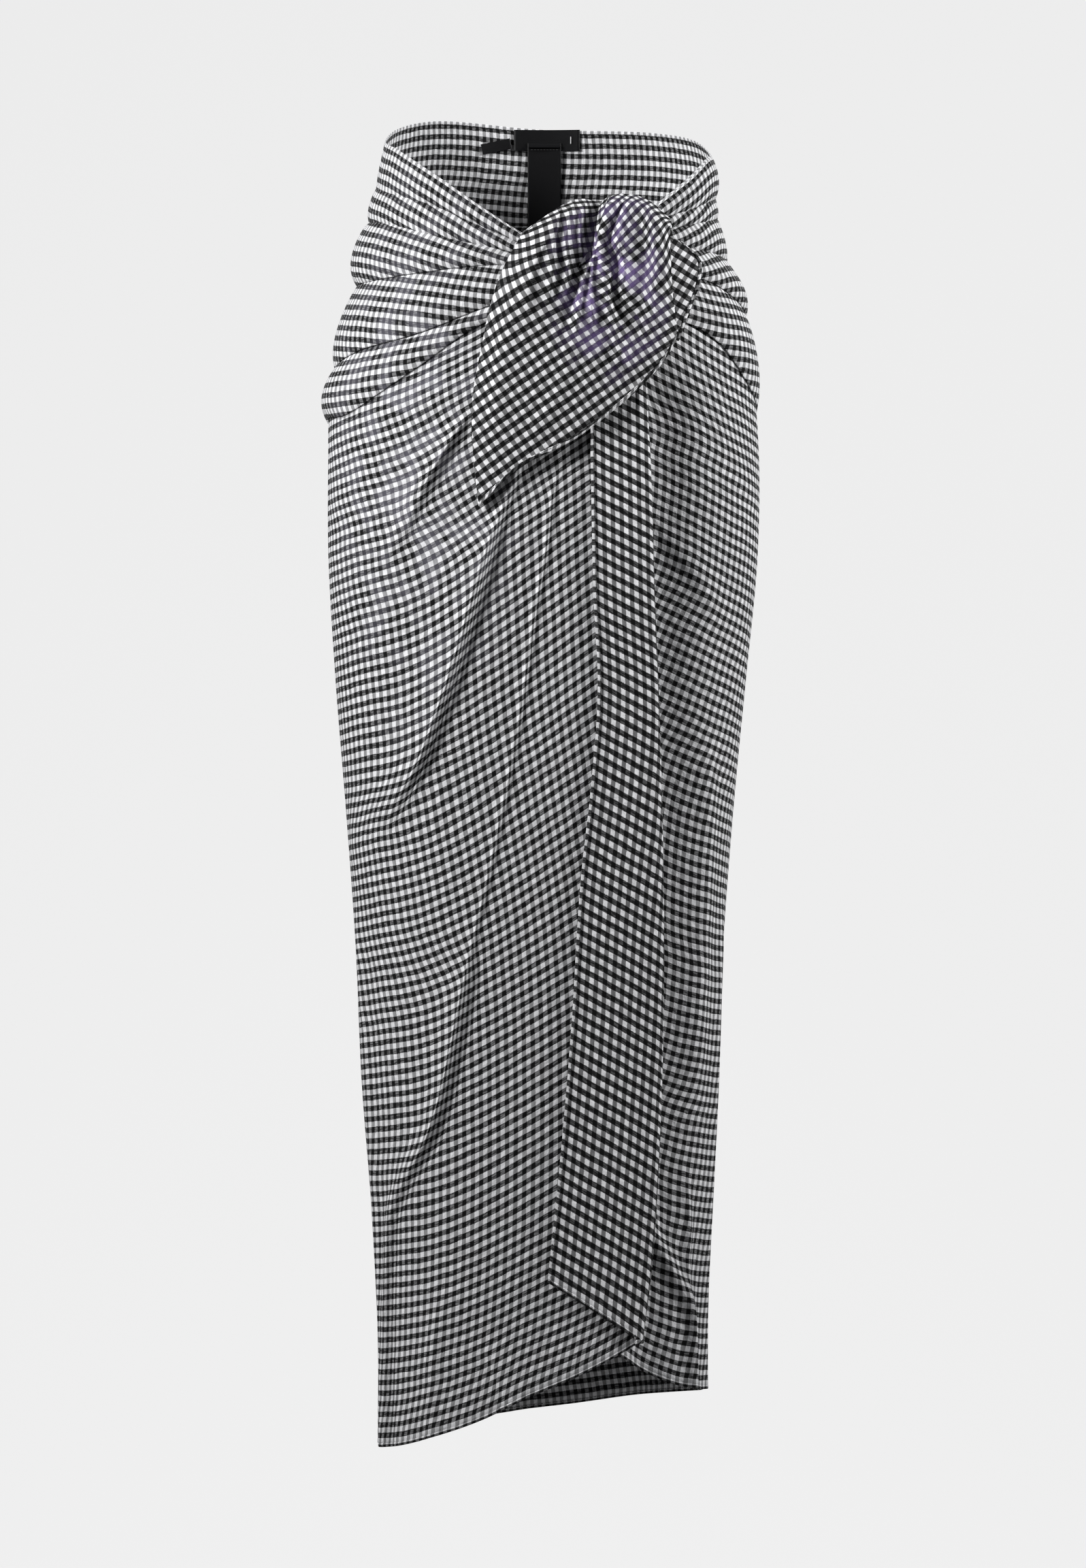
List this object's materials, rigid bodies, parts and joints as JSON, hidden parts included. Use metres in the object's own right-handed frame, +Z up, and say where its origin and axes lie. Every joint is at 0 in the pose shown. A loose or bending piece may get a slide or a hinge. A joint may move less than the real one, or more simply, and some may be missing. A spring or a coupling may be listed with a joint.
{
  "type": "wrap sarong",
  "caption": "Ankle-length rectangle of gingham cloth wound round the hips as a skirt, knotted at the front with a hanging leaf and one long edge turned back.",
  "frame": {"origin": "middle of the waist opening, level with the top edge at the sides, where the wearer's waist holds it", "axes": "+Z up along the wearer, -Y the front with the knot, +X the side the over layer crosses to"},
  "size_m": [0.3274, 0.2576, 0.9976],
  "materials": {
    "gingham_cloth": "matt crinkled woven cotton, small black and white checks, lighter face side",
    "gingham_cloth_reverse": "matt crinkled woven cotton, small black and white checks, darker reverse side",
    "woven_label": "plain black satin tape"
  },
  "bodies": {
    "root": {"front_over": "gingham_cloth", "back": "gingham_cloth", "front_under": "gingham_cloth", "turned_edge": "gingham_cloth_reverse", "tie_leaf": "gingham_cloth_reverse", "tie_flap": "gingham_cloth_reverse", "knot": "gingham_cloth_reverse", "waist_label": "woven_label", "care_label": "woven_label", "size_tab": "woven_label"}
  },
  "joints": []
}
